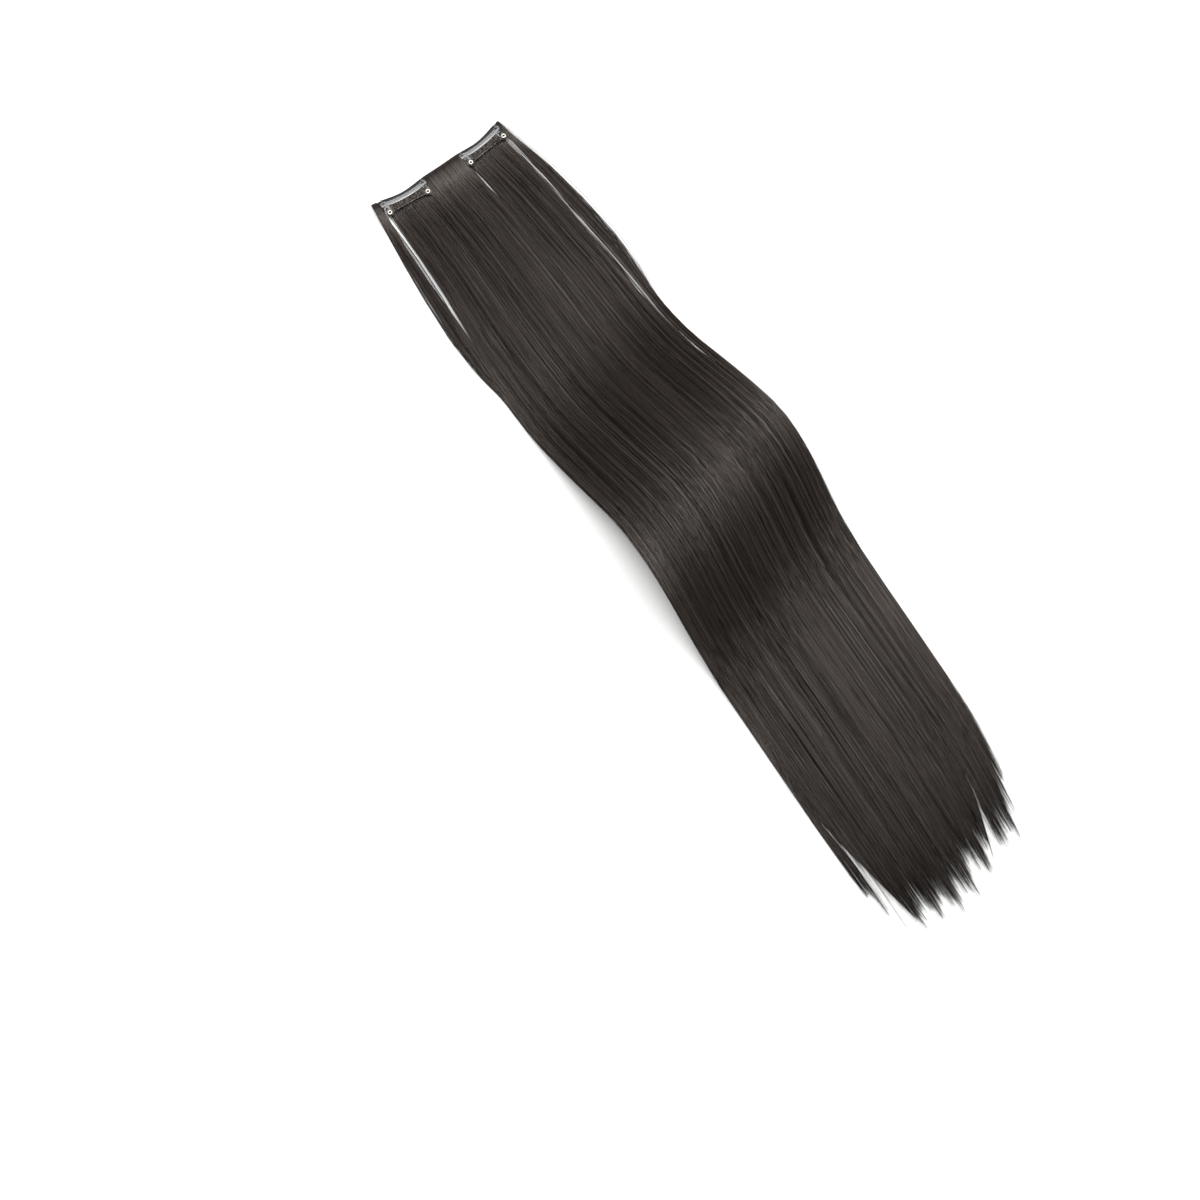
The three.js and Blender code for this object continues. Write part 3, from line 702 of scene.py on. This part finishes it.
bar_ease = 0.12
hole_out, thread_turns, thread_pitch, thread_lean = 14.2, 4, 0.16, 0.35
thread_radius, thread_low, thread_rise = 0.13, 3.45, 0.62
thread_steps = np.linspace(0, 1, 9)
for clip in ("left_clip", "right_clip"):
    comb_body = clip.replace("clip", "comb")
    ends = {}
    for end in ("left", "right"):
        low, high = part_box(f"{clip}_{end}_rivet")
        ends[end] = (low + high) / 2
    span = ends["right"] - ends["left"]
    turn = math.atan2(span.y, span.x)
    place = (ends["left"] + ends["right"]) / 2

    eased_copy(f"{clip}_plate", f"{clip}_enamelled_plate", enamel, "weft", 0.14,
               lambda bm, place=place, turn=turn: dome_band(bm, place, turn))
    for end in ("left", "right"):
        eased_copy(f"{clip}_{end}_ear", f"{clip}_{end}_spring_ear", spring, "weft", 0.1)
        bm = bmesh.new()
        profile = [bm.verts.new((r, 0, z)) for r, z in rivet_profile]
        edges = [bm.edges.new((profile[k - 1], profile[k])) for k in range(len(profile))]
        bmesh.ops.spin(bm, geom=profile + edges, cent=(0, 0, 0), axis=(0, 0, 1), angle=2 * math.pi,
                       steps=32, use_merge=True)
        bmesh.ops.remove_doubles(bm, verts=bm.verts[:], dist=1e-5)
        bmesh.ops.recalc_face_normals(bm, faces=bm.faces[:])
        place_on_clip(bm, ends[end], turn)
        eyelet = f"{clip}_{end}_eyelet"
        rivet = piece_of_mesh(mesh_from(bm, eyelet), eyelet, nickel, "weft")
        rivet.data.set_sharp_from_angle(angle=math.radians(50))
        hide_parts(f"{clip}_{end}_rivet")

    bm = bmesh.new()
    made = bmesh.ops.create_cube(bm, size=1)
    bmesh.ops.scale(bm, vec=(2 * bar_half, bar_height, tooth_wire), verts=made["verts"])
    bmesh.ops.translate(bm, vec=(0, 0, comb_level + tooth_wire / 2), verts=made["verts"])
    bmesh.ops.bevel(bm, geom=bm.edges[:], offset=bar_ease, offset_type="OFFSET", segments=2, profile=0.5,
                    affect="EDGES", material=-1, clamp_overlap=True)
    for number in range(tooth_count):
        tooth_ring(bm, tooth_pitch * (number - (tooth_count - 1) / 2))
    bmesh.ops.remove_doubles(bm, verts=bm.verts[:], dist=1e-3)
    bmesh.ops.recalc_face_normals(bm, faces=bm.faces[:])
    place_on_clip(bm, place, turn)
    comb_name = f"{clip}_loop_comb"
    comb = piece_of_mesh(mesh_from(bm, comb_name), comb_name, spring, comb_body)
    comb.data.set_sharp_from_angle(angle=math.radians(50))
    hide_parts(f"{clip}_comb")

    loops = []
    for side in (-1, 1):
        for number in range(thread_turns):
            aside = number - (thread_turns - 1) / 2
            hole_y = band_edge(hole_out, 2.2)
            x = side * hole_out + thread_pitch * aside + side * thread_lean * aside * thread_steps
            y = hole_y + (band_edge(hole_out, 0) + 0.35 - hole_y) * thread_steps
            z = thread_low + thread_rise * np.sin(np.pi * thread_steps) ** 0.35 + 0.02 * number
            loops.append(np.stack((x, y, z), axis=-1))
    loops = np.array(loops)
    cosine, sine = math.cos(turn), math.sin(turn)
    turned = np.stack((loops[..., 0] * cosine - loops[..., 1] * sine,
                       loops[..., 0] * sine + loops[..., 1] * cosine, loops[..., 2]), axis=-1) * MM
    turned[..., 0] += place.x
    turned[..., 1] += place.y
    loop_mesh = fibre_mesh(f"{clip}_sewing_thread", turned, np.full(turned.shape[:2], thread_radius * MM),
                           np.full(len(turned), 0.5))
    piece_of_mesh(loop_mesh, f"{clip}_sewing_thread", sewing, "weft")
